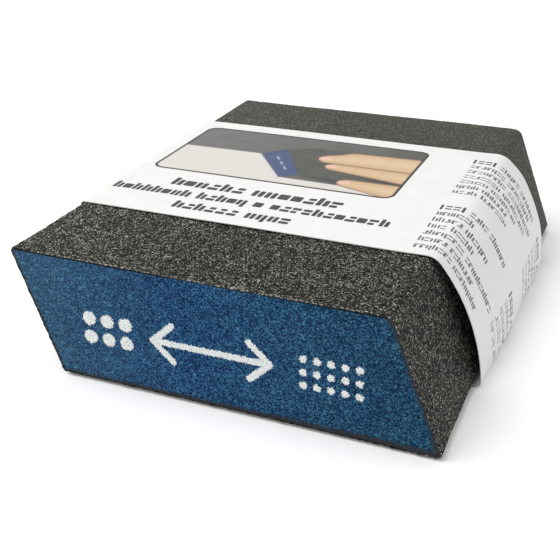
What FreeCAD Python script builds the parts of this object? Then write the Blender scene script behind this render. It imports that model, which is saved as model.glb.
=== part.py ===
"""Angled sanding block in a printed paper sleeve, as a parametric FreeCAD document.

The block is a bar of polyurethane foam whose cross-section is a parallelogram, so that one long
edge on each side is sharp enough to reach into a corner. A resin bond coat and a layer of abrasive
grain cover its four long faces, and the two sawn ends are bare foam. A paper strip is folded round
the middle and glued to itself under the block, and slides along the block.

Millimetres. +X runs across the block, +Y along it, +Z up. The origin is on the surface that the
sleeve rests on, under the middle of the block.
"""
import FreeCAD, Part

import math
import os

import Sketcher

DIMENSIONS = {
    # The block, over its grit
    "block_length": 125.0,
    "block_width": 90.0,  # of the top, and of the bottom
    "block_height": 30.0,
    "side_shift": 11.3,  # how far the bottom lies to the right of the top
    "corner_radius": 0.9,
    "worn_radius": 2.8,  # the top right edge is rounded more than the other three
    "bond_thickness": 0.1,
    "grit_thickness": 0.3,
    "coat_lap": 6.0,  # how far a side coat reaches over the top and the bottom
    # The paper sleeve
    "sleeve_width": 70.0,
    "sleeve_offset": 1.9,  # the sleeve's middle from the block's
    "paper_thickness": 0.2,
    "side_gap": 0.3,  # between the paper and the block's top and left side
    "seat_gap": 0.1,  # between the glue flap and the block's bottom
    "fold_radius": 1.1,  # outside radius of the two folds on the left
    "shoulder_radius": 4.5,  # where the loose right-hand side leaves the top
    "shoulder_centre": 37.6,
    "bulge_radius": 50.0,
    "toe_radius": 2.0,  # the fold at the bottom right
    "sleeve_reach": 52.0,  # the sleeve's furthest point to the right
    # The glued seam under the block
    "seam_edge": 37.0,  # the outer panel's free edge, left of the middle
    "flap_overlap": 15.0,
    "glue_thickness": 0.1,
    "glue_width": 10.0,
    "glue_margin": 3.0,  # bare paper at each end of the glue
}

# Expressions that several sub-parts share
BOND_INSET = "Dims.grit_thickness"
FOAM_INSET = "(Dims.grit_thickness + Dims.bond_thickness)"
SEAT = "(2 * Dims.paper_thickness + Dims.glue_thickness + Dims.seat_gap)"
FLAP_LEVEL = "(Dims.paper_thickness + Dims.glue_thickness)"
PAPER_INSET = "(-Dims.side_gap - Dims.paper_thickness)"
WIDTH_PER_DEPTH = "(sqrt(Dims.block_height^2 + Dims.side_shift^2) / Dims.block_height)"

LEFT, RIGHT = -1, 1
START, END, CENTRE = 1, 2, 3  # a sketch element's own points
ORIGIN = (-1, 1)


def section_height(inset, at_top):
    """Height above the seat of the section's top or bottom, moved inwards by inset."""
    return f"(Dims.block_height - {inset})" if at_top else f"({inset})"


def side_x(side, inset, height):
    """X of a slanted side, moved inwards by inset, at a height above the seat."""
    half_width = f"(Dims.block_width / 2 - {inset} * {WIDTH_PER_DEPTH})"
    lean = f"Dims.side_shift * (1 / 2 - {height} / Dims.block_height)"
    return f"({side} * {half_width} + {lean})"


def corner(side, inset, at_top):
    """(x, z) expressions of one sharp corner of the section, moved inwards by inset."""
    height = section_height(inset, at_top)
    return side_x(side, inset, height), f"({SEAT} + {height})"


def edge_radius(side, inset, at_top):
    """Radius of one long edge of the section, moved inwards by inset."""
    name = "worn_radius" if (side, at_top) == (RIGHT, True) else "corner_radius"
    return f"(Dims.{name} - {inset})"


def lap_edge(side, at_top):
    """X where a side coat ends on the top or the bottom."""
    x_corner = side_x(side, "0", section_height("0", at_top))
    return f"({x_corner} - {side} * Dims.coat_lap)"


def make_dimension_sheet(doc):
    sheet = doc.addObject("Spreadsheet::Sheet", "Dims")
    for row, (name, value) in enumerate(DIMENSIONS.items(), start=1):
        sheet.set(f"A{row}", name)
        sheet.set(f"B{row}", str(value))
        sheet.setAlias(f"B{row}", name)
    doc.recompute()
    return sheet


def bind(sketch, kind, first, second, name, expression):
    """Adds a dimension between two points of a sketch and binds it to an expression."""
    value = float(sketch.evalExpression(expression))
    index = sketch.addConstraint(Sketcher.Constraint(kind, *first, *second, value))
    sketch.renameConstraint(index, name)
    sketch.setExpression(f"Constraints.{name}", expression)


def place_point(sketch, element, point, name, x, z):
    """Fixes a point of a sketch element at (x, z), both expressions. A None is left free."""
    if x is not None:
        bind(sketch, "DistanceX", ORIGIN, (element, point), f"{name}_x", x)
    if z is not None:
        bind(sketch, "DistanceY", ORIGIN, (element, point), f"{name}_z", z)


def polygon_sketch(body, corners):
    """A closed sketch on the body's XZ plane, with a corner at each (x, z) pair of expressions."""
    sketch = body.newObject("Sketcher::SketchObject", f"{body.Name}_section")
    plane = next(f for f in body.Origin.OriginFeatures if f.Role == "XZ_Plane")
    sketch.AttachmentSupport = [(plane, "")]
    sketch.MapMode = "FlatFace"
    spots = [
        FreeCAD.Vector(float(body.evalExpression(x)), float(body.evalExpression(z)), 0)
        for x, z in corners
    ]
    count = len(corners)
    for i in range(count):
        sketch.addGeometry(Part.LineSegment(spots[i], spots[(i + 1) % count]), False)
    for i in range(count):
        sketch.addConstraint(Sketcher.Constraint("Coincident", i, END, (i + 1) % count, START))
    for i, (x, z) in enumerate(corners):
        place_point(sketch, i, START, f"corner{i}", x, z)
    return sketch


def padded_body(doc, label, corners, length="Dims.block_length"):
    """A body padded from a polygon, half of its length to each side of the XZ plane."""
    body = doc.addObject("PartDesign::Body", label)
    sketch = polygon_sketch(body, corners)
    doc.recompute()
    pad = body.newObject("PartDesign::Pad", f"{label}_pad")
    pad.Profile = sketch
    pad.SideType = "Symmetric"
    pad.setExpression("Length", length)
    doc.recompute()
    return body


def round_long_edge(doc, body, side, inset, at_top):
    """Rounds the body's edge that runs along Y through one section corner."""
    feature = body.Tip
    x, z = (float(body.evalExpression(e)) for e in corner(side, inset, at_top))
    edges = []
    for number, edge in enumerate(feature.Shape.Edges, start=1):
        box = edge.BoundBox
        runs_along = box.YLength > 1 and box.XLength < 1e-6 and box.ZLength < 1e-6
        if runs_along and math.hypot(box.XMin - x, box.ZMin - z) < 1e-4:
            edges.append(f"Edge{number}")
    if len(edges) != 1:
        raise RuntimeError(f"{body.Label}: found {len(edges)} edges to round at one corner")
    fillet = body.newObject("PartDesign::Fillet", f"{body.Name}_edge")
    fillet.Base = (feature, edges)
    fillet.setExpression("Radius", edge_radius(side, inset, at_top))
    doc.recompute()


def make_foam_core(doc):
    corners = [
        corner(LEFT, FOAM_INSET, False),
        corner(RIGHT, FOAM_INSET, False),
        corner(RIGHT, FOAM_INSET, True),
        corner(LEFT, FOAM_INSET, True),
    ]
    body = padded_body(doc, "foam_core", corners)
    for side in (LEFT, RIGHT):
        for at_top in (False, True):
            round_long_edge(doc, body, side, FOAM_INSET, at_top)
    return body


def make_face_coat(doc, label, at_top, outside, inside):
    """A flat layer on the top or the bottom, between the laps of the two side coats."""
    left, right = lap_edge(LEFT, at_top), lap_edge(RIGHT, at_top)
    z_outside = f"({SEAT} + {section_height(outside, at_top)})"
    z_inside = f"({SEAT} + {section_height(inside, at_top)})"
    corners = [(left, z_outside), (right, z_outside), (right, z_inside), (left, z_inside)]
    return padded_body(doc, label, corners)


def make_side_coat(doc, label, side, outside, inside):
    """A layer on one slanted side, wrapped round both edges and lapped over top and bottom."""
    top_x, bottom_x = lap_edge(side, True), lap_edge(side, False)
    outer = [corner(side, outside, True), corner(side, outside, False)]
    inner = [corner(side, inside, False), corner(side, inside, True)]
    corners = [
        (top_x, outer[0][1]),
        *outer,
        (bottom_x, outer[1][1]),
        (bottom_x, inner[0][1]),
        *inner,
        (top_x, inner[1][1]),
    ]
    body = padded_body(doc, label, corners)
    for inset in (outside, inside):
        for at_top in (False, True):
            round_long_edge(doc, body, side, inset, at_top)
    return body


def make_coats(doc):
    """The bond coat and the grit coat on each of the four long faces."""
    coats = []
    for layer, outside, inside in (
        ("bond_coat", BOND_INSET, FOAM_INSET),
        ("grit_coat", "0", BOND_INSET),
    ):
        coats.append(make_face_coat(doc, f"{layer}_top", True, outside, inside))
        coats.append(make_face_coat(doc, f"{layer}_bottom", False, outside, inside))
        coats.append(make_side_coat(doc, f"{layer}_left", LEFT, outside, inside))
        coats.append(make_side_coat(doc, f"{layer}_right", RIGHT, outside, inside))
    return coats


def arc_between(centre, radius, start, finish):
    """An arc round centre, anticlockwise from one point to the other."""
    angles = [math.atan2(p[1] - centre[1], p[0] - centre[0]) for p in (start, finish)]
    if angles[1] < angles[0]:
        angles[1] += 2 * math.pi
    circle = Part.Circle(FreeCAD.Vector(*centre, 0), FreeCAD.Vector(0, 0, 1), radius)
    return Part.ArcOfCircle(circle, *angles)


def point_towards(centre, target, distance):
    """The point at a distance from centre, on the way to target."""
    span = math.dist(centre, target)
    return [c + (t - c) * distance / span for c, t in zip(centre, target)]


def bulge_centre(shoulder, shoulder_radius, toe, toe_radius, radius):
    """Centre of the arc of this radius that touches the shoulder's and the toe's from outside."""
    from_shoulder, from_toe = radius - shoulder_radius, radius - toe_radius
    span = math.dist(shoulder, toe)
    along = (from_shoulder**2 - from_toe**2 + span**2) / (2 * span)
    across = math.sqrt(from_shoulder**2 - along**2)
    ux, uz = [(t - s) / span for s, t in zip(shoulder, toe)]
    return [shoulder[0] + along * ux + across * uz, shoulder[1] + along * uz - across * ux]


def make_sleeve_path(doc):
    """The sleeve's outside line: flap, left fold, left side, top, bulging right side, bottom."""
    sketch = doc.addObject("Sketcher::SketchObject", "paper_sleeve_path")
    sketch.Placement.Rotation = FreeCAD.Rotation(FreeCAD.Vector(1, 0, 0), 90)

    def value(expression):
        return float(sketch.evalExpression(expression))

    top = f"({SEAT} + Dims.block_height - {PAPER_INSET})"
    left_low = (side_x(LEFT, PAPER_INSET, "0"), SEAT)
    left_high = (side_x(LEFT, PAPER_INSET, "Dims.block_height"), f"({SEAT} + Dims.block_height)")
    flap_end = "(Dims.flap_overlap - Dims.seam_edge)"
    toe_x = "(Dims.sleeve_reach - Dims.toe_radius)"

    # Where each arc and line would be, to start the solver close to its answer
    fold, shoulder_r, toe_r, bulge_r = (
        value(f"Dims.{n}_radius") for n in ("fold", "shoulder", "toe", "bulge")
    )
    low, high = ([value(e) for e in pair] for pair in (left_low, left_high))
    span = math.dist(low, high)
    ux, uz = (high[0] - low[0]) / span, (high[1] - low[1]) / span

    def on_side(z):
        return [low[0] + (z - low[1]) * ux / uz, z]

    def fold_centre(z):
        """Centre, at height z, of a fold that touches the left side."""
        return [on_side(z)[0] + fold / uz, z]

    lower, upper = fold_centre(value(FLAP_LEVEL) + fold), fold_centre(value(top) - fold)
    shoulder = [value("Dims.shoulder_centre"), value(top) - shoulder_r]
    toe = [value(toe_x), toe_r]
    bulge = bulge_centre(shoulder, shoulder_r, toe, toe_r, bulge_r)
    across = [-uz * fold, ux * fold]
    lower_side, upper_side = ([c + a for c, a in zip(p, across)] for p in (lower, upper))
    shoulder_end = point_towards(bulge, shoulder, bulge_r)
    toe_start = point_towards(bulge, toe, bulge_r)
    spots = {
        "flap": ([value(flap_end), value(FLAP_LEVEL)], [lower[0], value(FLAP_LEVEL)]),
        "side": (lower_side, upper_side),
        "top": ([upper[0], value(top)], [shoulder[0], value(top)]),
        "panel": ([toe[0], 0.0], [value("-Dims.seam_edge"), 0.0]),
    }

    def line(name):
        start, finish = spots[name]
        segment = Part.LineSegment(FreeCAD.Vector(*start, 0), FreeCAD.Vector(*finish, 0))
        return sketch.addGeometry(segment, False)

    def arc(centre, radius, start, finish):
        return sketch.addGeometry(arc_between(centre, radius, start, finish), False)

    flap = line("flap")
    lower_fold = arc(lower, fold, lower_side, spots["flap"][1])
    side = line("side")
    upper_fold = arc(upper, fold, spots["top"][0], upper_side)
    top_line = line("top")
    shoulder_arc = arc(shoulder, shoulder_r, shoulder_end, spots["top"][1])
    bulge_arc = arc(bulge, bulge_r, toe_start, shoulder_end)
    toe_arc = arc(toe, toe_r, spots["panel"][0], toe_start)
    panel = line("panel")

    # A line starts and ends along the path, and an arc, being anticlockwise, runs against it
    order = [
        (flap, START, END),
        (lower_fold, END, START),
        (side, START, END),
        (upper_fold, END, START),
        (top_line, START, END),
        (shoulder_arc, END, START),
        (bulge_arc, END, START),
        (toe_arc, END, START),
        (panel, START, END),
    ]
    for (first, _, leaves), (second, enters, _) in zip(order, order[1:]):
        sketch.addConstraint(Sketcher.Constraint("Tangent", first, leaves, second, enters))
    for level in (flap, top_line, panel):
        sketch.addConstraint(Sketcher.Constraint("Horizontal", level))

    # The left side lies along a construction line, parallel to the block's own side
    guide = sketch.addGeometry(
        Part.LineSegment(FreeCAD.Vector(*low, 0), FreeCAD.Vector(*high, 0)), True
    )
    place_point(sketch, guide, START, "guide_low", *left_low)
    place_point(sketch, guide, END, "guide_high", *left_high)
    for point in (START, END):
        sketch.addConstraint(Sketcher.Constraint("PointOnObject", side, point, guide))

    place_point(sketch, flap, START, "flap_end", flap_end, FLAP_LEVEL)
    place_point(sketch, top_line, START, "top", None, top)
    place_point(sketch, shoulder_arc, CENTRE, "shoulder", "Dims.shoulder_centre", None)
    place_point(sketch, toe_arc, CENTRE, "toe", toe_x, "Dims.toe_radius")
    place_point(sketch, panel, END, "panel_end", "-Dims.seam_edge", None)
    for element, name in (
        (lower_fold, "fold"),
        (shoulder_arc, "shoulder"),
        (bulge_arc, "bulge"),
        (toe_arc, "toe"),
    ):
        expression = f"Dims.{name}_radius"
        index = sketch.addConstraint(Sketcher.Constraint("Radius", element, value(expression)))
        sketch.renameConstraint(index, f"{name}_radius")
        sketch.setExpression(f"Constraints.{name}_radius", expression)
    sketch.addConstraint(Sketcher.Constraint("Equal", lower_fold, upper_fold))
    return sketch


def make_paper_sleeve(doc):
    """The folded strip: its outside line, thickened inwards and drawn out along Y."""
    path = make_sleeve_path(doc)
    doc.recompute()
    section = doc.addObject("Part::Offset2D", "paper_sleeve_section")
    section.Source = path
    section.Mode = "Skin"
    section.Fill = True
    section.setExpression("Value", "-Dims.paper_thickness")
    sleeve = doc.addObject("Part::Extrusion", "paper_sleeve")
    sleeve.Base = section
    sleeve.DirMode = "Custom"
    sleeve.Dir = FreeCAD.Vector(0, 1, 0)
    sleeve.Solid = True
    sleeve.Symmetric = True
    sleeve.setExpression("LengthFwd", "Dims.sleeve_width")
    sleeve.setExpression("Placement.Base.y", "Dims.sleeve_offset")
    return sleeve


def make_glue_strip(doc):
    """The line of glue between the flap and the outer panel, in the middle of their overlap."""
    middle = "(Dims.flap_overlap / 2 - Dims.seam_edge)"
    left, right = f"({middle} - Dims.glue_width / 2)", f"({middle} + Dims.glue_width / 2)"
    corners = [
        (left, "Dims.paper_thickness"),
        (right, "Dims.paper_thickness"),
        (right, FLAP_LEVEL),
        (left, FLAP_LEVEL),
    ]
    body = padded_body(doc, "glue_strip", corners, "Dims.sleeve_width - 2 * Dims.glue_margin")
    body.setExpression("Placement.Base.y", "Dims.sleeve_offset")
    return body


def check_document(doc, subparts):
    for item in doc.Objects:
        if "Invalid" in item.State or "Error" in item.State:
            raise RuntimeError(f"{item.Label} did not recompute: {item.State}")
        if item.isDerivedFrom("Sketcher::SketchObject") and not item.FullyConstrained:
            raise RuntimeError(f"{item.Label} is not fully constrained")
    for item in subparts:
        shape = item.Shape
        if shape.isNull() or not shape.isValid() or not shape.Solids or shape.Volume <= 0:
            raise RuntimeError(f"{item.Label} has no valid solid")


def main():
    doc = FreeCAD.newDocument("sanding_block")
    make_dimension_sheet(doc)
    subparts = [make_foam_core(doc), *make_coats(doc), make_paper_sleeve(doc), make_glue_strip(doc)]
    doc.recompute()
    check_document(doc, subparts)
    os.makedirs("parts", exist_ok=True)
    for item in subparts:
        item.Shape.exportStep(os.path.join("parts", f"{item.Label}.step"))
        box = item.Shape.BoundBox
        print(
            f"{item.Label}: volume {item.Shape.Volume:.1f} mm3,"
            f" x {box.XMin:.2f} to {box.XMax:.2f}, y {box.YMin:.2f} to {box.YMax:.2f},"
            f" z {box.ZMin:.2f} to {box.ZMax:.2f}"
        )


main()
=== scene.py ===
"""The looks of the slanted sanding block: foam, grit, paper sleeve and print, around the CAD frame.

Shapes are worked out in millimetres, in the frame's own axes: +X across the block, +Y along it, +Z up.
Two outlines in the XZ plane drive them: the block's rounded parallelogram and the sleeve's folded
line. A distance along an outline and a y then give a place on the surface.
"""
import math

import bpy
import numpy as np
from mathutils import Matrix, Vector


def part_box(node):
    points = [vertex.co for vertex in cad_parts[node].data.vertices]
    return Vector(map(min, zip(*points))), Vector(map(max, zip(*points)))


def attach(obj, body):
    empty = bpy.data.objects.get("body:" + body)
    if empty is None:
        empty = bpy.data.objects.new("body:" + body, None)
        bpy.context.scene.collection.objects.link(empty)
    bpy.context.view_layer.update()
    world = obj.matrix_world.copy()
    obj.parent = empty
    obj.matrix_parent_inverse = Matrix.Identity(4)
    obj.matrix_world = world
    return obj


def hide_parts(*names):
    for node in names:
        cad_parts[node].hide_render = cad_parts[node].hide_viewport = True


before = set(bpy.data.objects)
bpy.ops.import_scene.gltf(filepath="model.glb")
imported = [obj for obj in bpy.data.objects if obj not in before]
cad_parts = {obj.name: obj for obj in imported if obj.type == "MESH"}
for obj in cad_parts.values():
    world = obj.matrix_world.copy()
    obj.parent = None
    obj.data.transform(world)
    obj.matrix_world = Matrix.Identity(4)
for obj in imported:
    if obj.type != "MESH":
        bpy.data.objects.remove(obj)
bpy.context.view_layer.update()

MM = 0.001  # metres


def box_mm(node):
    """The low and high corners of a node's box, in mm."""
    return [np.array(corner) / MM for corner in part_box(node)]


# ---------------------------------------------------------------- sizes, in mm
TOP_LOW, TOP_HIGH = box_mm("grit_coat_top")
BOTTOM_LOW, BOTTOM_HIGH = box_mm("grit_coat_bottom")
SLEEVE_LOW, SLEEVE_HIGH = box_mm("paper_sleeve")
HALF_LENGTH = TOP_HIGH[1]
BLOCK_TOP, BLOCK_BOTTOM = TOP_HIGH[2], BOTTOM_LOW[2]
GRIT = TOP_HIGH[2] - TOP_LOW[2]
BOND = TOP_LOW[2] - box_mm("bond_coat_top")[0][2]
COAT_LAP = 6.0  # from a sharp corner of the section to the edge of the side coat
WORN_RADIUS = 2.8  # the top right edge
SCUFFED_RADIUS = 1.2  # the bottom right edge
CORNER_RADIUS = 0.9  # the two left edges

PAPER = 0.2
PAPER_GAP = SLEEVE_HIGH[2] - BLOCK_TOP - PAPER
FLAP_LEVEL = 0.3  # the glue flap's underside
FLAP_EDGE, SEAM_EDGE = -22.0, -37.0  # x of the flap's end and of the outer panel's free edge
FOLD_RADIUS = 1.1
SHOULDER, SHOULDER_RADIUS = 39.76, 4.5  # where the top and the loose side would meet
BULGE, BULGE_RADIUS = (50.73, 17.46), 50.0
TOE, TOE_RADIUS = 52.17, 2.0


# ---------------------------------------------------------------- outlines and noise
class Path:
    """Straight runs joined by arcs in the XZ plane, turning clockwise as seen from -Y."""

    def __init__(self, start, corners, finish):
        """Each corner is (x, z, radius)."""
        points = np.array([start, *[c[:2] for c in corners], finish], float)
        radii = [c[2] for c in corners]
        steps = np.diff(points, axis=0)
        spans = np.hypot(*steps.T)
        ahead = steps / spans[:, None]
        turns = -np.diff(np.unwrap(np.arctan2(ahead[:, 1], ahead[:, 0])))
        cuts = [0.0, *(r * math.tan(t / 2) for r, t in zip(radii, turns)), 0.0]
        self.runs, self.length = [], 0.0
        for i, span in enumerate(spans):
            self.add_run(span - cuts[i] - cuts[i + 1], points[i] + ahead[i] * cuts[i], ahead[i], None)
            if i < len(radii):
                left = np.array([-ahead[i][1], ahead[i][0]])
                centre = points[i + 1] - ahead[i] * cuts[i + 1] - left * radii[i]
                self.add_run(radii[i] * turns[i], centre, left, radii[i])

    def add_run(self, length, base, way, radius):
        self.runs.append((self.length, base, way, radius))
        self.length += length

    def at(self, s):
        """Positions and outward normals, as arrays of (x, z), at distances s along the path."""
        s = np.asarray(s, float)
        spot, normal = np.empty(s.shape + (2,)), np.empty(s.shape + (2,))
        for begins, base, way, radius in self.runs:
            here = s >= begins
            along = (s[here] - begins)[:, None]
            if radius is None:
                normal[here] = [-way[1], way[0]]
                spot[here] = base + along * way
            else:
                cos, sin = np.cos(along / radius), np.sin(along / radius)
                normal[here] = cos * way + sin * np.array([way[1], -way[0]])
                spot[here] = base + radius * normal[here]
        return spot, normal


def grains(shape, blurs, seed):
    """Random heights of unit spread that vary over a few cells. Opposite edges match."""
    field = np.random.default_rng(seed).standard_normal(shape)
    for _ in range(blurs):
        for axis in (0, 1):
            field = (np.roll(field, 1, axis) + 2 * field + np.roll(field, -1, axis)) / 4
    return field / field.std()


def ripple(points, wavelength, seed, waves=8):
    """A smooth random wave of unit spread, read at points in space."""
    rng = np.random.default_rng(seed)
    total = np.zeros(points.shape[:-1])
    for _ in range(waves):
        way = rng.standard_normal(3)
        way *= 2 * math.pi / (wavelength * rng.uniform(0.7, 1.4) * np.linalg.norm(way))
        total += np.sin(points @ way + rng.uniform(0, 2 * math.pi))
    return total / math.sqrt(waves / 2)


def eased(x, knots, values):
    """Goes from value to value over the knots, level at each of them."""
    x = np.clip(x, knots[0], knots[-1])
    step = np.clip(np.searchsorted(knots, x, side="right") - 1, 0, len(knots) - 2)
    knots, values = np.asarray(knots, float), np.asarray(values, float)
    t = (x - knots[step]) / (knots[step + 1] - knots[step])
    return values[step] + (values[step + 1] - values[step]) * t * t * (3 - 2 * t)


def with_y(pairs, y):
    """Points in space from (x, z) pairs and y, broadcast together."""
    x, y, z = np.broadcast_arrays(pairs[..., 0], y, pairs[..., 1])
    return np.stack([x, y, z], -1)


def capsule(x, y, start, end, start_radius, end_radius):
    """Distance in the plane from a stroke with round ends, from start to end."""
    run_x, run_y = end[0] - start[0], end[1] - start[1]
    along = ((x - start[0]) * run_x + (y - start[1]) * run_y) / (run_x**2 + run_y**2)
    along = np.clip(along, 0, 1)
    distance = np.hypot(x - start[0] - along * run_x, y - start[1] - along * run_y)
    return distance - (start_radius + (end_radius - start_radius) * along)


# ---------------------------------------------------------------- meshes
def make_piece(name, points, faces, material, body, attributes=None):
    """A mesh object from points in mm, with float or colour attributes, riding on a body."""
    mesh = bpy.data.meshes.new(name)
    mesh.from_pydata((np.asarray(points) * MM).tolist(), [], faces)
    for key, values in (attributes or {}).items():
        if values.ndim == 1:
            layer = mesh.attributes.new(key, "FLOAT", "POINT")
            layer.data.foreach_set("value", values.astype(np.float32))
        else:
            layer = mesh.attributes.new(key, "FLOAT_COLOR", "POINT")
            layer.data.foreach_set("color", values.astype(np.float32).ravel())
    mesh.shade_smooth()
    mesh.set_sharp_from_angle(angle=math.radians(55))
    mesh.materials.append(material)
    piece = bpy.data.objects.new(name, mesh)
    bpy.context.collection.objects.link(piece)
    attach(piece, body)
    return piece


def shell(outer, inner):
    """Points and faces of a closed shell between two grids of points, [across, along, xyz].

    Across runs clockwise round the section and along runs towards +Y. The inner grid may have fewer
    points along than the outer one, because only its ends meet it.
    """
    count, rows = outer.shape[:2]
    inner_rows = inner.shape[1]
    out = np.arange(count * rows).reshape(count, rows)
    ins = out.size + np.arange(count * inner_rows).reshape(count, inner_rows)

    def quads(a, b, c, d):
        return np.stack([a.ravel(), b.ravel(), c.ravel(), d.ravel()], -1).tolist()

    faces = quads(out[:-1, :-1], out[1:, :-1], out[1:, 1:], out[:-1, 1:])
    faces += quads(ins[:-1, :-1], ins[:-1, 1:], ins[1:, 1:], ins[1:, :-1])
    faces += quads(ins[:-1, 0], ins[1:, 0], out[1:, 0], out[:-1, 0])
    faces += quads(out[:-1, -1], out[1:, -1], ins[1:, -1], ins[:-1, -1])
    faces.append([*out[0].tolist(), *ins[0, ::-1].tolist()])
    faces.append([*ins[-1].tolist(), *out[-1, ::-1].tolist()])
    return np.concatenate([outer.reshape(-1, 3), inner.reshape(-1, 3)]), faces


# ---------------------------------------------------------------- materials
class Shader:
    """One material's node tree, with shorthand for the nodes that it needs."""

    def __init__(self, name, **fixed):
        """fixed sets the Principled shader's own sockets, such as Roughness."""
        self.material = bpy.data.materials.new(name)
        self.material.use_nodes = True
        self.tree = self.material.node_tree
        self.principled = self.tree.nodes["Principled BSDF"]
        for socket, value in fixed.items():
            self.principled.inputs[socket.replace("_", " ")].default_value = value
        coordinates = self.tree.nodes.new("ShaderNodeTexCoord")
        self.mm = self.add("ShaderNodeVectorMath", [coordinates.outputs["Object"]], operation="SCALE")
        self.mm.node.inputs["Scale"].default_value = 1 / MM

    def add(self, kind, inputs, output=0, **settings):
        """A node's output socket. Inputs are sockets or values, by position or by name."""
        node = self.tree.nodes.new(kind)
        for key, value in settings.items():
            setattr(node, key, value)
        for key, value in inputs.items() if isinstance(inputs, dict) else enumerate(inputs):
            if isinstance(value, bpy.types.NodeSocket):
                self.tree.links.new(value, node.inputs[key])
            elif value is not None:
                node.inputs[key].default_value = value
        return node.outputs[output]

    def noise(self, size, detail=2.0, roughness=0.5):
        """A smooth value from about 0.2 to 0.8 that varies over size mm."""
        sizes = {"Vector": self.mm, "Scale": 1 / size, "Detail": detail, "Roughness": roughness}
        return self.add("ShaderNodeTexNoise", sizes)

    def cells(self, size, output):
        """Random cells size mm across: output is Distance or Color."""
        sizes = {"Vector": self.mm, "Scale": 1 / size}
        return self.add("ShaderNodeTexVoronoi", sizes, output)

    def math(self, operation, a, b=None):
        return self.add("ShaderNodeMath", [a, b], operation=operation)

    def rescale(self, value, low, high, to_low=0.0, to_high=1.0):
        inputs = {"Value": value, 1: low, 2: high, 3: to_low, 4: to_high}
        return self.add("ShaderNodeMapRange", inputs)

    def attribute(self, name, output="Fac"):
        return self.add("ShaderNodeAttribute", [], output, attribute_name=name)

    def ramp(self, value, *stops):
        """A colour from (position, colour) stops."""
        socket = self.add("ShaderNodeValToRGB", [value])
        elements = socket.node.color_ramp.elements
        while len(elements) < len(stops):
            elements.new(1.0)
        for element, (position, colour) in zip(elements, stops):
            element.position = position
            element.color = (*colour, 1.0)
        return socket

    def mix(self, factor, a, b, blend="MIX"):
        """Mixes two colours, or sockets of colour."""
        colours = [c if isinstance(c, bpy.types.NodeSocket) else (*c, 1.0) for c in (a, b)]
        inputs = {0: factor, 6: colours[0], 7: colours[1]}
        return self.add("ShaderNodeMix", inputs, 2, data_type="RGBA", blend_type=blend)

    def bump(self, height, depth, strength=1.0):
        """Sets the surface's bump: a height of 1 stands depth mm above a height of 0."""
        inputs = {"Strength": strength, "Distance": depth * MM, "Height": height}
        self.set("Normal", self.add("ShaderNodeBump", inputs))

    def set(self, name, socket):
        self.tree.links.new(socket, self.principled.inputs[name])


def srgb(red, green, blue):
    """A linear colour from 8-bit sRGB values."""
    return tuple(
        c / 255 / 12.92 if c <= 10 else ((c / 255 + 0.055) / 1.055) ** 2.4 for c in (red, green, blue)
    )


GRAIN = 0.29  # size of a grain, mm
FOAM_PORE = 0.26  # size of a cell of the foam, mm


def grit_material():
    """Grains in dark resin: domes of uneven brightness, a few of them pale, with dark gaps."""
    shader = Shader("grit", Roughness=0.75, Specular_IOR_Level=0.12)
    dome = shader.cells(GRAIN, "Distance")
    coarse = shader.add("ShaderNodeSeparateColor", [shader.cells(GRAIN, "Color")])
    fine = shader.add("ShaderNodeSeparateColor", [shader.cells(0.6 * GRAIN, "Color")])
    bright = shader.math("POWER", coarse, 1.6)
    value = shader.math("MULTIPLY", bright, 0.74)
    value = shader.math("ADD", value, shader.math("MULTIPLY", fine, 0.26))
    value = shader.math("MULTIPLY", value, shader.rescale(dome, 0.3, 0.8, 1.0, 0.4))
    patch = shader.rescale(shader.noise(8.0, 3.0), 0.3, 0.7, 0.93, 1.07)
    value = shader.math("MULTIPLY", value, patch)
    # Lighter on the raised grit, darker in its hollows: painted shade, partly the dark resin there
    value = shader.math("ADD", value, shader.math("MULTIPLY", shader.attribute("relief"), 0.03))
    colour = shader.ramp(
        value,
        (0.02, (0.003, 0.003, 0.003)),
        (0.30, (0.018, 0.018, 0.015)),
        (0.52, (0.100, 0.099, 0.083)),
        (0.90, (0.72, 0.71, 0.61)),
    )
    # Paler at the left than in the middle and at the right: painted light falloff. Lighter and more
    # even at the rear: a painted sheen, smoothed out
    place = shader.add("ShaderNodeSeparateXYZ", [shader.mm])
    pale = shader.rescale(place, -46.0, -10.0, 1.12, 0.86)
    colour = shader.mix(1.0, colour, pale, "MULTIPLY")
    # Painted sheen: towards the rear the grit is mixed with a lighter, even grey
    even = shader.rescale(place.node.outputs["Y"], 10.0, 44.0, 0.0, 0.55)
    shader.set("Base Color", shader.mix(even, colour, (0.086, 0.084, 0.072)))
    shader.set("Roughness", shader.rescale(coarse.node.outputs[1], 0.0, 1.0, 0.4, 0.95))
    shader.bump(shader.math("MULTIPLY", dome, -1.0), 0.14, 0.9)
    return shader.material


def bond_material():
    """The dark resin that binds the grit."""
    shader = Shader("bond_resin", Roughness=0.5)
    speck = shader.noise(0.35, 2.0)
    colour = shader.ramp(speck, (0.3, (0.008, 0.008, 0.009)), (0.75, (0.03, 0.03, 0.03)))
    shader.set("Base Color", colour)
    shader.set("Roughness", shader.rescale(speck, 0.2, 0.8, 0.35, 0.75))
    shader.bump(shader.noise(0.25), 0.06)
    return shader.material


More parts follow.
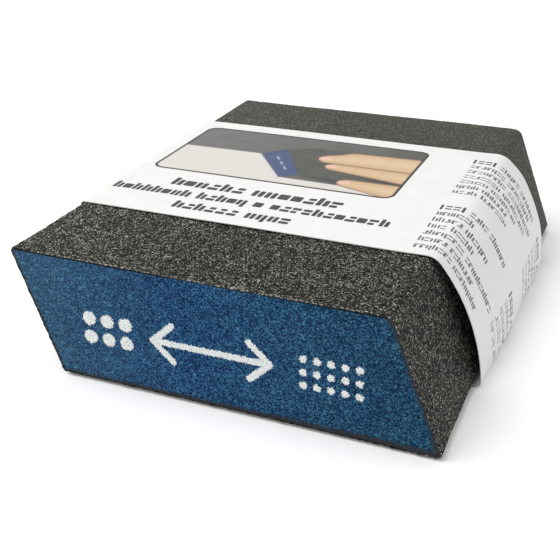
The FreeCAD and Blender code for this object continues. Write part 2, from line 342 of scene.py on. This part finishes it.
def foam_material():
    """Blue foam with open cells, resin soaked in round its rim, and white ink with ragged edges."""
    shader = Shader("foam", Roughness=0.9, Specular_IOR_Level=0.15)
    pore = shader.cells(FOAM_PORE, "Distance")
    tint = shader.add("ShaderNodeSeparateColor", [shader.cells(FOAM_PORE, "Color")])
    fine = shader.noise(0.20, 1.0, 0.5)
    value = shader.math("MULTIPLY", tint, 0.50)
    value = shader.math("ADD", value, shader.math("MULTIPLY", fine, 0.74))
    # Darker where the cut end lies lower: painted shade in the foam's hollows
    value = shader.math("ADD", value, shader.math("MULTIPLY", shader.attribute("relief"), 0.03))
    patch = shader.noise(11.0, 3.0)
    value = shader.math("ADD", value, shader.rescale(patch, 0.3, 0.7, -0.16, -0.12))
    colour = shader.ramp(
        value,
        (0.22, srgb(4, 24, 50)),
        (0.42, srgb(16, 54, 90)),
        (0.58, srgb(34, 78, 116)),
        (0.80, srgb(92, 136, 158)),
    )
    # Greener and darker at the right: painted light falloff. A pale haze at the left: a painted sheen
    place = shader.add("ShaderNodeSeparateXYZ", [shader.mm])
    painted_falloff = shader.ramp(
        shader.rescale(place, -45.0, 45.0),
        (0.0, (0.66, 0.98, 1.05)),
        (0.4, (0.69, 0.91, 1.04)),
        (1.0, (0.66, 0.83, 0.79)),
    )
    colour = shader.mix(1.0, colour, painted_falloff, "MULTIPLY")
    # Painted sheen: a pale grey haze mixed in at the left end
    painted_sheen = shader.rescale(place, -46.0, -8.0, 0.10, 0.0)
    colour = shader.mix(painted_sheen, colour, srgb(120, 140, 140))
    # Resin round the rim, then ink over it all
    ragged = shader.rescale(shader.noise(0.55, 2.0, 0.6), 0.2, 0.8, -0.5, 0.5)
    soak = shader.math("ADD", shader.attribute("rim"), shader.math("MULTIPLY", ragged, 0.9))
    soak = shader.rescale(soak, -0.1, 0.65, 0.95, 0.0)
    resin = shader.ramp(fine, (0.35, (0.012, 0.015, 0.018)), (0.62, (0.042, 0.044, 0.042)))
    colour = shader.mix(soak, colour, resin)
    torn = shader.rescale(shader.noise(0.38, 2.0, 0.6), 0.2, 0.8, -0.45, 0.45)
    ink = shader.math("ADD", shader.attribute("ink"), torn)
    ink = shader.rescale(ink, -0.06, 0.06, 1.0, 0.0)
    white = shader.ramp(fine, (0.30, srgb(140, 156, 166)), (0.52, srgb(235, 237, 233)))
    shader.set("Base Color", shader.mix(ink, colour, white))
    shader.bump(shader.math("ADD", pore, fine), 0.10, 0.6)
    return shader.material


def paper_material():
    """Coated white paper, with a faint mottle and fibre."""
    shader = Shader("paper", Roughness=0.42, Specular_IOR_Level=0.45)
    mottle = shader.noise(6.0, 4.0, 0.6)
    colour = shader.ramp(mottle, (0.3, (0.79, 0.79, 0.775)), (0.7, (0.83, 0.83, 0.815)))
    shader.set("Base Color", colour)
    shader.set("Roughness", shader.rescale(mottle, 0.3, 0.7, 0.36, 0.5))
    shader.bump(shader.noise(0.8, 3.0), 0.01, 0.5)
    return shader.material


def ink_material(name, colour, fade=0.15):
    """Printing ink, slightly uneven, so that a little of the paper shows through."""
    shader = Shader(name, Roughness=0.5)
    paper = 0.8
    light = tuple(c + (paper - c) * fade for c in colour)
    uneven = shader.noise(0.5, 3.0, 0.6)
    shader.set("Base Color", shader.ramp(uneven, (0.3, colour), (0.75, light)))
    shader.set("Roughness", shader.rescale(uneven, 0.3, 0.7, 0.4, 0.55))
    return shader.material


def picture_material():
    """The printed panel: the colours painted on its points, with a fine printing grain."""
    shader = Shader("picture_ink", Roughness=0.4)
    grain = shader.ramp(shader.noise(0.35, 2.0), (0.3, (0.93, 0.93, 0.93)), (0.7, (1.0, 1.0, 1.0)))
    paint = shader.attribute("paint", "Color")
    shader.set("Base Color", shader.mix(1.0, paint, grain, "MULTIPLY"))
    shader.set("Roughness", shader.rescale(shader.noise(5.0), 0.3, 0.7, 0.34, 0.48))
    return shader.material


def glue_material():
    """Dried glue, yellowish and a little cloudy."""
    shader = Shader("glue", Roughness=0.3)
    cloud = shader.noise(2.0)
    colour = shader.ramp(cloud, (0.3, srgb(214, 200, 150)), (0.7, srgb(232, 222, 184)))
    shader.set("Base Color", colour)
    return shader.material


def floor_material():
    """A plain white floor that gives a little light of its own, so that shadows stay pale."""
    fixed = {"Roughness": 0.9, "Specular_IOR_Level": 0.1}
    shader = Shader("floor", **fixed, Emission_Color=(1, 1, 1, 1), Emission_Strength=0.07)
    cloud = shader.noise(60.0)
    colour = shader.ramp(cloud, (0.3, (0.93, 0.93, 0.93)), (0.7, (0.95, 0.95, 0.95)))
    shader.set("Base Color", colour)
    return shader.material


# ---------------------------------------------------------------- the block
CELL = 0.32  # spacing of the grit's points
FOAM_CELL = 0.25  # spacing of the points on the foam's ends
LEFT_TOP, RIGHT_TOP = TOP_LOW[0] - COAT_LAP, TOP_HIGH[0] + COAT_LAP
LEFT_BOTTOM, RIGHT_BOTTOM = BOTTOM_LOW[0] - COAT_LAP, BOTTOM_HIGH[0] + COAT_LAP

# Clockwise from the top coat's left edge, all the way round
BLOCK = Path(
    (TOP_LOW[0], BLOCK_TOP),
    [
        (RIGHT_TOP, BLOCK_TOP, WORN_RADIUS),
        (RIGHT_BOTTOM, BLOCK_BOTTOM, SCUFFED_RADIUS),
        (LEFT_BOTTOM, BLOCK_BOTTOM, CORNER_RADIUS),
        (LEFT_TOP, BLOCK_TOP, CORNER_RADIUS),
    ],
    (TOP_LOW[0], BLOCK_TOP),
)
FACE = TOP_HIGH[0] - TOP_LOW[0]
SIDE = BLOCK.length / 2 - FACE
FACE_CELLS, SIDE_CELLS = round(FACE / CELL), round(SIDE / CELL)
ROWS = round(2 * HALF_LENGTH / CELL) + 1

# Heights of the grit's relief: of its grains, of its slow waves, and along its cut edges
GRAIN_HEIGHT, WAVE_HEIGHT, FRAY = 0.045, 0.02, 0.06
UNEVEN = 0.05  # how far the faces of the block are from flat
# Heights on the foam's ends: of its cells, of its slow waves, and of the ink
CELL_HEIGHT, SOFT_HEIGHT, INK_HEIGHT = 0.035, 0.02, 0.04

# The front end of the soft block has lost its square shape: how far parts of it move, in mm
SQUARE_FROM = -36.0  # the y behind which the block keeps its CAD shape
FRONT_BACK, TOP_UP = 0.45, 0.3
LOW_LEFT_OUT, LOW_RIGHT_OUT = 0.55, 0.12
CORNER_OUT, CORNER_DOWN = 0.45, 0.25  # the front bottom right corner

# Rows of points along y on the hidden surfaces: enough of them to follow the front end
ALONG = np.array([*np.linspace(-HALF_LENGTH, SQUARE_FROM, 7), HALF_LENGTH])

# How light the cut edge of each grit coat looks at the ends, in spreads of the grit's relief; the
# bottom's dark edge is painted shade over the dark resin
CUT_EDGES = {"top": 4.0, "right": 1.5, "bottom": -9.0, "left": -5.0}


def settle(points):
    """Points of the block, moved from their CAD places to the front end's slack shape."""
    x, y, z = points[..., 0], points[..., 1], points[..., 2]
    front = eased(y, [-HALF_LENGTH, SQUARE_FROM], [1, 0])
    high = z / BLOCK_TOP
    low_right = eased(x, [36.0, 48.0], [0, 1]) * eased(z, [BLOCK_BOTTOM, 16.0], [1, 0])
    corner = low_right * eased(y, [-HALF_LENGTH, -52.0], [1, 0])
    low_left = eased(x, [-46.0, -20.0], [1, 0]) * (1 - high)
    aside = (LOW_RIGHT_OUT * low_right - LOW_LEFT_OUT * low_left) * front + CORNER_OUT * corner
    rise = TOP_UP * front * high - CORNER_DOWN * corner
    return points + np.stack([aside, FRONT_BACK * front, rise], -1)


def block_points(s, y, depth):
    """Points at distances s round the block and at y along it, depth mm under its grit."""
    spot, normal = BLOCK.at(s)
    nominal = with_y(spot[:, None, :], y)
    rise = UNEVEN * ripple(nominal, 30.0, seed=3) - depth
    return settle(nominal + with_y(normal[:, None, :] * rise[..., None], 0.0))


def make_coats(grit, bond):
    """The four grit coats and the four bond coats, each a closed shell."""
    loop = 2 * (FACE_CELLS + SIDE_CELLS)
    rows = np.linspace(-HALF_LENGTH, HALF_LENGTH, ROWS)
    grainy = np.tanh(grains((loop, ROWS), 1, seed=11)) * GRAIN_HEIGHT
    smoother = eased(rows, [0.0, 40.0], [1, 0.45])
    relief = (grainy + WAVE_HEIGHT * grains((loop, ROWS), 4, seed=12)) * smoother
    frayed = FRAY * grains((loop, 2), 1, seed=13)
    start = 0
    for number, (name, edge_light) in enumerate(CUT_EDGES.items()):
        cells = (FACE_CELLS, SIDE_CELLS)[number % 2]
        begins = (number // 2) * (FACE + SIDE) + (number % 2) * FACE
        s = begins + np.linspace(0, (FACE, SIDE)[number % 2], cells + 1)
        columns = (start + np.arange(cells + 1)) % loop
        start += cells

        y = np.tile(rows, (cells + 1, 1))
        y[:, 0] -= frayed[columns, 0]
        y[:, -1] += frayed[columns, 1]
        under = np.tile(ALONG, (cells + 1, 1))
        under[:, [0, -1]] = y[:, [0, -1]]
        points, faces = shell(block_points(s, y, -relief[columns]), block_points(s, under, GRIT))
        light = relief[columns] / relief.std()
        # The cut edges take their set lightness; the bottom's dark value is painted shade
        light[:, [0, -1]] = edge_light
        light = np.concatenate([light.ravel(), np.full(under.size, 2 * edge_light)])
        coat = make_piece(f"grit_{name}", points, faces, grit, "block", {"relief": light})
        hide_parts(f"grit_coat_{name}")

        points, faces = shell(block_points(s, ALONG, GRIT), block_points(s, ALONG, GRIT + BOND))
        coat = make_piece(f"bond_{name}", points, faces, bond, "block")
        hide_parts(f"bond_coat_{name}")


def mark_distance(x, z):
    """Distance in mm from the mark on the front end: coarse dots, a double arrow, fine dots."""
    middle = 13.4  # height of the mark's middle over the block's underside

    def dots(first, pitch, columns, rows, radius):
        for i in range(columns):
            for j in range(rows):
                side, height = first + pitch * i, middle + pitch * (j - (rows - 1) / 2)
                yield np.hypot(x - side, z - height) - radius

    def stroke(start, end):
        half_width = 0.75
        return capsule(x, z, start, end, half_width, half_width)

    shapes = [*dots(-31.0, 4.6, columns=3, rows=2, radius=1.65)]
    shapes += dots(20.5, 3.1, columns=5, rows=3, radius=0.85)
    shapes.append(stroke((-14.5, middle), (12.5, middle)))
    for tip, back in ((-15.0, -10.2), (13.0, 8.2)):
        shapes += [stroke((tip, middle), (back, middle + rise)) for rise in (4.4, -4.4)]
    return np.minimum.reduce(shapes)


def foam_section():
    """A grid over the foam's cross-section: x, z, and the depth of each point inside the rim."""
    inset = GRIT + BOND
    half_loop = np.linspace(FACE / 2, FACE / 2 + BLOCK.length / 2, 4000)
    right, normal = BLOCK.at(half_loop)
    right = right - inset * normal
    left, normal = BLOCK.at((half_loop + BLOCK.length / 2) % BLOCK.length)
    left = left - inset * normal
    low, high = BLOCK_BOTTOM + inset, BLOCK_TOP - inset
    count_z = round((high - low) / FOAM_CELL)
    count_x = round((FACE + 2 * COAT_LAP) / FOAM_CELL)
    z = np.linspace(low, high, count_z + 1)
    x_left = np.interp(z, left[:, 1], left[:, 0])
    x_right = np.interp(z, right[::-1, 1], right[::-1, 0])
    x = x_left + (x_right - x_left) * np.linspace(0, 1, count_x + 1)[:, None]
    z = np.broadcast_to(z, x.shape)

    # Resin is soaked in further along the bottom, towards the right, and at the right side's ends
    lean = (RIGHT_TOP - RIGHT_BOTTOM) / (BLOCK_TOP - BLOCK_BOTTOM)
    upright = 1 / math.hypot(1, lean)
    soaked = 0.25 + 0.55 * (x - LEFT_BOTTOM) / (RIGHT_BOTTOM - LEFT_BOTTOM)
    scuffed = eased(z, [low, low + 6.0, high - 4.0, high], [1.1, 0.3, 0.3, 0.8])
    from_left, from_right = (x - x_left) * upright, (x_right - x) * upright - scuffed
    return x, z, np.minimum.reduce([from_left, from_right, z - low - soaked, high - z + 0.25])


def make_foam(material):
    """The foam core: two cut ends with open cells, and plain sides under the coats."""
    x, z, rim = foam_section()
    unprinted = 9.0  # a distance from the mark that is out of the ink's reach
    points, reliefs, inks = [], [], []
    for number, end in enumerate((-1, 1)):
        pores = grains(x.shape, 1, seed=21 + number)
        soft = grains(x.shape, 4, seed=31 + number)
        relief = CELL_HEIGHT * np.tanh(pores) + SOFT_HEIGHT * soft
        ink = mark_distance(x, z - BLOCK_BOTTOM) if end < 0 else np.full(x.shape, unprinted)
        printed = np.clip(-ink / 0.3 + 0.5, 0, 1)
        relief = relief * (1 - 0.6 * printed) + INK_HEIGHT * printed
        y = end * (HALF_LENGTH - 0.05 + relief)
        points.append(settle(np.stack([x, y, z], -1)).reshape(-1, 3))
        reliefs.append((relief / INK_HEIGHT).ravel())
        inks.append(ink.ravel())

    number = np.arange(x.size).reshape(x.shape)
    corners = [number[:-1, :-1], number[1:, :-1], number[1:, 1:], number[:-1, 1:]]
    front = np.stack([c.ravel() for c in corners], -1)
    rear = front[:, ::-1] + x.size
    ring = np.concatenate([number[:, 0], number[-1, 1:], number[-2::-1, -1], number[0, -2:0:-1]])
    outline = np.stack([x.ravel()[ring], z.ravel()[ring]], -1)
    loops = [ring]
    for y in ALONG[1:-1]:
        loops.append(np.arange(len(ring)) + sum(len(p) for p in points))
        points.append(settle(with_y(outline, y)))
    loops.append(ring + x.size)
    sides = [
        np.stack([loop, after, np.roll(after, -1), np.roll(loop, -1)], -1)
        for loop, after in zip(loops, loops[1:])
    ]
    faces = np.concatenate([front, rear, *sides]).tolist()
    hidden = np.zeros(len(ring) * (len(loops) - 2))
    attributes = {
        "relief": np.concatenate([*reliefs, hidden]),
        "ink": np.concatenate([*inks, hidden + unprinted]),
        "rim": np.concatenate([rim.ravel(), rim.ravel(), hidden]),
    }
    core = make_piece("foam", np.concatenate(points), faces, material, "block", attributes)
    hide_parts("foam_core")


# ---------------------------------------------------------------- the sleeve
def sleeve_left(z):
    """X of the sleeve's outer face on the left, at height z."""
    lean = (LEFT_TOP - LEFT_BOTTOM) / (BLOCK_TOP - BLOCK_BOTTOM)
    return LEFT_BOTTOM + (z - BLOCK_BOTTOM) * lean - (PAPER_GAP + PAPER) * math.hypot(1, lean)


# From the end of the glue flap, clockwise to the free edge of the outer panel
SLEEVE_TOP = SLEEVE_HIGH[2]
SLEEVE = Path(
    (FLAP_EDGE, FLAP_LEVEL),
    [
        (sleeve_left(FLAP_LEVEL), FLAP_LEVEL, FOLD_RADIUS),
        (sleeve_left(SLEEVE_TOP), SLEEVE_TOP, FOLD_RADIUS),
        (SHOULDER, SLEEVE_TOP, SHOULDER_RADIUS),
        (*BULGE, BULGE_RADIUS),
        (TOE, 0.0, TOE_RADIUS),
    ],
    (SEAM_EDGE, 0.0),
)
# Where the sleeve's runs begin; u is counted from x = 0 on the top, so that u is x there
TOP_BEGINS = SLEEVE.runs[4]
U_ZERO = TOP_BEGINS[0] - TOP_BEGINS[1][0]
U_SHOULDER, U_TOE, U_TOE_END = (SLEEVE.runs[i][0] - U_ZERO for i in (5, 9, 10))


def swell(u, y):
    """How far the loose right side stands out past its CAD line, more at the rear than in front."""
    places = [U_SHOULDER, U_SHOULDER + 11, U_SHOULDER + 22, U_TOE, U_TOE_END]
    across = eased(u, places, [0, 1, 1, 0.5, 0])
    along = eased(y, [SLEEVE_LOW[1], 2.0, 28.0, SLEEVE_HIGH[1]], [0, 1, 1, 0.75])
    return 1.8 * across * along


def sleeve_points(u, y, lift):
    """Points at u round the sleeve and y along it, lift mm above the paper's outer face."""
    u, y = np.broadcast_arrays(np.asarray(u, float), np.asarray(y, float))
    spot, normal = SLEEVE.at(u.ravel() + U_ZERO)
    spot, normal = spot.reshape(u.shape + (2,)), normal.reshape(u.shape + (2,))
    flat = np.stack([u, y, np.zeros(u.shape)], -1)
    loose = eased(u, [U_SHOULDER - 8, U_SHOULDER + 8, U_TOE, U_TOE_END], [0.0, 1, 0.6, 0])
    top = eased(u, [-52.0, -35.0, U_SHOULDER - 6, U_SHOULDER], [0, 1, 1, 0])
    rise = swell(u, y) + 0.16 * loose * ripple(flat, 34.0, seed=5)
    rise = rise + 0.05 * top * (1 + ripple(flat, 45.0, seed=6)) + lift
    return with_y(spot + normal * rise[..., None], y)


def make_sleeve(material):
    """The paper strip, as one closed shell."""
    cell, rows = 0.45, 41
    u = np.linspace(0, SLEEVE.length, round(SLEEVE.length / cell) + 1)[:, None] - U_ZERO
    y = np.linspace(SLEEVE_LOW[1], SLEEVE_HIGH[1], rows)
    points, faces = shell(sleeve_points(u, y, 0.0), sleeve_points(u, y, -PAPER))
    sleeve = make_piece("sleeve_paper", points, faces, material, "sleeve")
    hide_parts("paper_sleeve")


# ---------------------------------------------------------------- print on the sleeve
INK = 0.03  # thickness of a printed layer, mm


class Print:
    """Marks printed on the sleeve, gathered into one mesh. Each mark is a thin closed solid."""

    def __init__(self, seed, solid=0.0):
        """solid is the share of signs that are solid blocks."""
        self.points, self.faces = [], []
        self.solid = solid
        self.random = np.random.default_rng(seed)

    def mark(self, u1, u2, y1, y2, rounding):
        """A rounded rectangle from (u1, y1) to (u2, y2), cut into strips so that it can bend."""
        rounding = min(rounding, (u2 - u1) / 2, (y2 - y1) / 2)
        curve = rounding * np.array([0.0, 0.3, 1.0])
        straight = np.linspace(u1 + rounding, u2 - rounding, 2 + int((u2 - u1) / 0.7))[1:-1]
        u = np.unique(np.concatenate([u1 + curve, straight, u2 - curve]).round(4))
        near = np.clip(rounding - np.minimum(u - u1, u2 - u), 0, rounding)
        inset = rounding - np.sqrt(np.maximum(rounding**2 - near**2, 0))
        inset = np.minimum(inset, (y2 - y1) / 2 - 0.02)
        low, high = y1 + inset, y2 - inset
        edges = ((low, 0), (high, 0), (high, INK), (low, INK))
        rings = np.stack([sleeve_points(u, side, lift) for side, lift in edges], 1)
        first = len(self.points)
        for ring in rings:
            self.points.extend(ring)
        for i in range(len(u) - 1):
            a = first + 4 * i
            for j in range(4):
                k = (j + 1) % 4
                self.faces.append([a + j, a + k, a + 4 + k, a + 4 + j])
        last = first + 4 * (len(u) - 1)
        self.faces.append([first + 3, first + 2, first + 1, first])
        self.faces.append([last, last + 1, last + 2, last + 3])

    def sign(self, kind, u, y, width, height, weight):
        """One abstract sign of greeked text on the line y: bars and blocks, never a letter."""
        thin = min(weight, 0.41 * height)
        slim = min(weight, 0.43 * width)
        bars = {
            "solid": ((0, width, 0.08 * height, 0.96 * height),),
            "rows": ((0, width, 0, thin), (0, width, height - thin, height)),
            "columns": ((0, slim, 0, height), (width - slim, width, 0, height)),
            "rise": ((0, slim, 0, 1.32 * height), (width - slim, width, 0, height)),
            "drop": ((0, slim, 0, height), (width - slim, width, -0.32 * height, height)),
            "foot": ((0, width, 0, thin), (width - 1.6 * slim, width, 1.5 * thin, height)),
            "head": ((0, 1.6 * slim, 0, height - 1.5 * thin), (0, width, height - thin, height)),
        }
        for left, right, low, high in bars[kind]:
            self.mark(u + left, u + right, y + low, y + high, 0.3 * min(thin, slim))

    def words(self, lengths, u, end, y, height, weight):
        """A line of greeked words of these lengths, from u to end."""
        kinds = ["solid", "rows", "columns", "rise", "drop", "foot", "head"]
        chances = [self.solid, 0.30 - self.solid, 0.18, 0.20, 0.06, 0.13, 0.13]
        pitch = (end - u) / (sum(lengths) + 0.6 * (len(lengths) - 1))
        for length in lengths:
            for _ in range(length):
                kind = self.random.choice(kinds, p=chances)
                width = pitch * self.random.uniform(0.80, 0.88)
                self.sign(kind, u + (pitch - width) / 2, y, width, height, weight)
                u += pitch
            u += 0.6 * pitch

    def finish(self, name, material):
        return make_piece(name, self.points, self.faces, material, "sleeve")


LINE_PITCH, TYPE_HEIGHT = 3.9, 1.9
SIGN_PITCH = 1.42  # width of a sign and its gap
TAG_WIDTH = 7.2
NEAR_SHOULDER, ON_BULGE, UNDERNEATH, LEFT_SIDE = 33.4, 62.3, 98.0, -79.0  # where columns start

# Lines of the headline: word lengths, start, end, y and height
HEADLINE = (
    ((6, 7), -35.7, 11.3, -15.1, 3.7),
    ((8, 5, 1, 11), -49.0, 25.4, -21.7, 3.2),
    ((6, 4), -28.1, 3.2, -28.6, 3.2),
)
# Paragraphs: where the column starts, y of the first line, and where each line ends
PARAGRAPHS = (
    (NEAR_SHOULDER, -6.4, (55.8, 42.9, 51.0, 46.6, 60.0, 51.2, 55.6)),
    (NEAR_SHOULDER, 27.9, (57.6, 55.8, 58.6, 56.6, 52.0, 48.4, 49.6)),
    (ON_BULGE, -6.9, (84.0, 79.5, 86.0, 81.0, 76.5)),
    (ON_BULGE, 27.9, (86.0, 82.0, 84.5, 79.0, 85.0, 77.0)),
    (UNDERNEATH, -6.9, (122.0, 118.5, 124.0, 111.0, 119.0)),
    (UNDERNEATH, 27.9, (121.0, 124.0, 116.5, 122.0, 108.0)),
    (LEFT_SIDE, 24.0, (-57.0, -60.0, -56.0, -66.0)),
    (LEFT_SIDE, -8.0, (-58.0, -56.5, -62.0, -59.0)),
)


def make_text(headline_ink, body_ink, faint_ink):
    """Greeked text: a headline of three lines, eight paragraphs, and bars under the block."""
    headline = Print(seed=1, solid=0.24)
    for lengths, start, end, y, height in HEADLINE:
        headline.words(lengths, start, end, y, height, weight=1.6)
    headline.finish("print_headline", headline_ink)

    body, faint, tags = Print(seed=2), Print(seed=4), Print(seed=3)
    for column, first_line, ends in PARAGRAPHS:
        text, weight = (body, 0.42) if column == NEAR_SHOULDER else (faint, 0.36)
        for row, end in enumerate(ends):
            y, start = first_line - LINE_PITCH * row, column
            if row == 0:
                mark_tag(tags, start, y)
                start += TAG_WIDTH
            count = max(3, round((end - start) / SIGN_PITCH))
            lengths = (count,) if count < 9 else (count // 2 - 1, count - count // 2)
            text.words(lengths, start, end, y, TYPE_HEIGHT, weight)
    body.finish("print_columns", body_ink)
    faint.finish("print_small_columns", faint_ink)

    bar = 130.0
    for _ in range(26):
        width = tags.random.choice([0.3, 0.55, 0.85])
        tags.mark(bar, bar + width, 4.0, 24.0, 0.0)
        bar += width + tags.random.choice([0.35, 0.6])
    tags.finish("print_tags", headline_ink)


def mark_tag(tags, start, y):
    """A short bracketed tag, at the head of a paragraph."""
    for side in (0.0, 5.3):
        tags.mark(start + side, start + side + 0.6, y - 0.5, y + 2.5, 0.1)
    for side in (1.2, 3.2):
        tags.sign("rows", start + side, y, 1.7, 2.1, 0.6)


def picture_colours(u, y, left, right, front, rear, radius):
    """Linear colours of the printed picture: a hand rubs a block along a board, in flat shapes."""
    canvas = np.zeros(u.shape + (3,))

    def paint(colour, distance, softness):
        amount = np.clip(0.5 - distance / softness, 0, 1)[..., None]
        canvas[:] = canvas * (1 - amount) + np.array(srgb(*colour)) * amount

    def stroke(start, end, start_radius, end_radius):
        return capsule(u, y, start, end, start_radius, end_radius)

    def polygon(*corners):
        """Distance outside a convex polygon whose corners run anticlockwise."""
        sides = []
        for (x1, y1), (x2, y2) in zip(corners, corners[1:] + corners[:1]):
            span = math.hypot(x2 - x1, y2 - y1)
            sides.append(((u - x1) * (y2 - y1) - (y - y1) * (x2 - x1)) / span)
        return np.maximum.reduce(sides)

    shade = ((u - left) / (right - left))[..., None]
    canvas[:] = np.array(srgb(108, 109, 106)) * (1 - shade) + np.array(srgb(78, 78, 70)) * shade

    # The board, up to and past the frame, and the block on it
    past_left, past_right, past_front = left - 9, right + 9, front - 9
    corner, end_top, near_hand = (-11.3, -0.6), (-22.9, 14.6), (8.9, -1.0)
    behind = polygon((past_left, past_front), (-11.3, past_front), corner, end_top, (past_left, 14.4))
    before = polygon(
        (-12.0, past_front), (past_right, past_front), (past_right, -4.6), near_hand, corner
    )
    for board in (behind, before):
        paint((219, 214, 208), board, 0.5)
    block = polygon(corner, near_hand, (26.0, -4.6), (26.0, 23.5), (-9.3, 24.0), (-17.5, 20.6))
    paint((74, 75, 69), block, 1.0)
    low_edge = stroke((-9.0, 0.6), (24.0, 0.4), 1.6, 3.4)
    paint((54, 54, 51), np.maximum(block, low_edge), 1.6)
    paint((60, 78, 118), polygon(end_top, corner, (-6.9, 2.6), (-17.5, 20.6)), 0.7)
    for share in (0.3, 0.5, 0.7):
        x, z = -20.4 + 11.6 * share, 17.6 - 16.4 * share
        paint((150, 162, 190), stroke((x - 0.5, z + 0.8), (x + 0.5, z - 0.8), 0.35, 0.35), 0.4)

    # Three fingers from the right, over their shadow
    tip = stroke((-3.3, 16.7), (4.0, 18.5), 3.2, 5.0)
    index = np.minimum(tip, stroke((3.0, 18.6), (25.0, 19.0), 5.1, 5.7))
    middle = stroke((-0.2, 11.3), (25.0, 8.9), 2.5, 4.7)
    thumb = stroke((7.0, 1.2), (25.0, -1.2), 2.7, 5.3)
    under = polygon((4.0, 0.0), (26.0, -4.0), (26.0, 8.0), (4.0, 5.0))
    paint((52, 50, 48), np.maximum(middle - 1.3, under), 1.0)
    for finger in (thumb, middle, index):
        paint((150, 112, 84), finger, 0.4)
        paint((208, 175, 137), finger + 0.55, 0.9)
        paint((220, 191, 154), finger + 2.6, 3.0)
    for x, height, size in ((-4.8, 16.6, 1.2), (-1.2, 11.4, 1.0), (5.9, 1.4, 1.1)):
        nail = stroke((x - 0.4, height), (x + 0.9, height + 0.1), size, size)
        paint((232, 190, 172), nail, 0.6)
    for x in (4.5, 12.0):
        for start, end, finger in (
            ((x, 14.6), (x + 0.6, 22.6), index + 0.8),
            ((x + 1.2, 6.4), (x + 1.6, 12.2), middle + 0.6),
        ):
            paint((196, 158, 126), np.maximum(stroke(start, end, 0.12, 0.12), finger), 0.5)

    # The dark outline of the panel
    edge = np.minimum.reduce([u - left, right - u, y - front, rear - y])
    beyond_u = u - np.clip(u, left + radius, right - radius)
    beyond_y = y - np.clip(y, front + radius, rear - radius)
    at_corner = radius - np.hypot(beyond_u, beyond_y)
    paint((46, 44, 40), np.minimum(edge, at_corner) - 0.75, 0.3)
    return canvas


def make_picture(material):
    """The printed picture panel, with rounded corners."""
    left, right, front, rear, radius = -46.8, 21.0, -5.1, 31.6, 3.2
    cell, rough_cells = 0.25, 8
    y = np.linspace(rear, front, round((rear - front) / cell) + 1)
    near = np.clip(radius - np.minimum(y - front, rear - y), 0, radius)
    inset = (radius - np.sqrt(radius**2 - near**2))[:, None]
    share = np.linspace(0, 1, round((right - left) / cell / rough_cells) * rough_cells + 1)
    u = left + inset + (right - left - 2 * inset) * share
    y = np.broadcast_to(y[:, None], u.shape)
    underside = sleeve_points(u[:, ::rough_cells], y[:, ::rough_cells], 0.0)
    points, faces = shell(sleeve_points(u, y, INK), underside)
    colours = np.zeros((len(points), 4))
    colours[: u.size, :3] = picture_colours(u, y, left, right, front, rear, radius).reshape(-1, 3)
    make_piece("print_picture", points, faces, material, "sleeve", {"paint": colours})


# ---------------------------------------------------------------- stage
AZIMUTH, ELEVATION, ROLL = (math.radians(a) for a in (23.72, 26.48, -1.02))
CAMERA_TARGET, CAMERA_DISTANCE = np.array([0.45, -27.33, 15.65]), 239.1
LENS = 63.65  # mm, on Blender's usual 36 mm sensor


def make_camera():
    """The camera, at the photo's angle."""
    level = math.cos(ELEVATION)
    back = Vector((math.sin(AZIMUTH) * level, -math.cos(AZIMUTH) * level, math.sin(ELEVATION)))
    right = Vector((math.cos(AZIMUTH), math.sin(AZIMUTH), 0))
    turn = Matrix.Rotation(-ROLL, 3, back)
    right = turn.transposed() @ right
    up = back.cross(right)
    camera = bpy.data.objects.new("camera", bpy.data.cameras.new("camera"))
    camera.data.lens = LENS
    camera.data.clip_start = 0.01
    rotation = Matrix((right, up, back)).transposed().to_4x4()
    place = Vector(CAMERA_TARGET * MM) + back * CAMERA_DISTANCE * MM
    camera.matrix_world = Matrix.Translation(place) @ rotation
    bpy.context.collection.objects.link(camera)
    bpy.context.scene.camera = camera


def make_light(name, place, size, power):
    """A soft square light, size m across, that points at the block from place, in metres."""
    light = bpy.data.lights.new(name, "AREA")
    light.size, light.energy = size, power
    lamp = bpy.data.objects.new(name, light)
    lamp.location = place
    lamp.rotation_euler = (-Vector(place)).to_track_quat("-Z", "Y").to_euler()
    bpy.context.collection.objects.link(lamp)


def make_stage():
    """A plain white floor, an even white sky and one soft light from the left."""
    mesh = bpy.data.meshes.new("floor")
    reach = 3.0
    corners = [(reach * i, reach * j, 0) for i, j in ((-1, -1), (1, -1), (1, 1), (-1, 1))]
    mesh.from_pydata(corners, [], [(0, 1, 2, 3)])
    mesh.materials.append(floor_material())
    floor = bpy.data.objects.new("floor", mesh)
    floor.location.z = -0.0002
    bpy.context.collection.objects.link(floor)
    world = bpy.data.worlds.new("studio")
    world.use_nodes = True
    sky = world.node_tree.nodes["Background"].inputs
    sky["Color"].default_value = (1, 1, 1, 1)
    sky["Strength"].default_value = 0.66
    bpy.context.scene.world = world
    make_light("key", (-0.55, -0.35, 1.1), size=1.0, power=11.6)
    bpy.context.scene.view_settings.view_transform = "Standard"


# ---------------------------------------------------------------- build
make_camera()
make_stage()
make_coats(grit_material(), bond_material())
make_foam(foam_material())
make_sleeve(paper_material())
make_text(
    ink_material("headline_ink", srgb(46, 46, 46), fade=0.05),
    ink_material("body_ink", srgb(84, 84, 86)),
    ink_material("faint_ink", srgb(150, 150, 150)),
)
make_picture(picture_material())
glue_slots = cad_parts["glue_strip"].data.materials
glue_slots.clear()
glue_slots.append(glue_material())
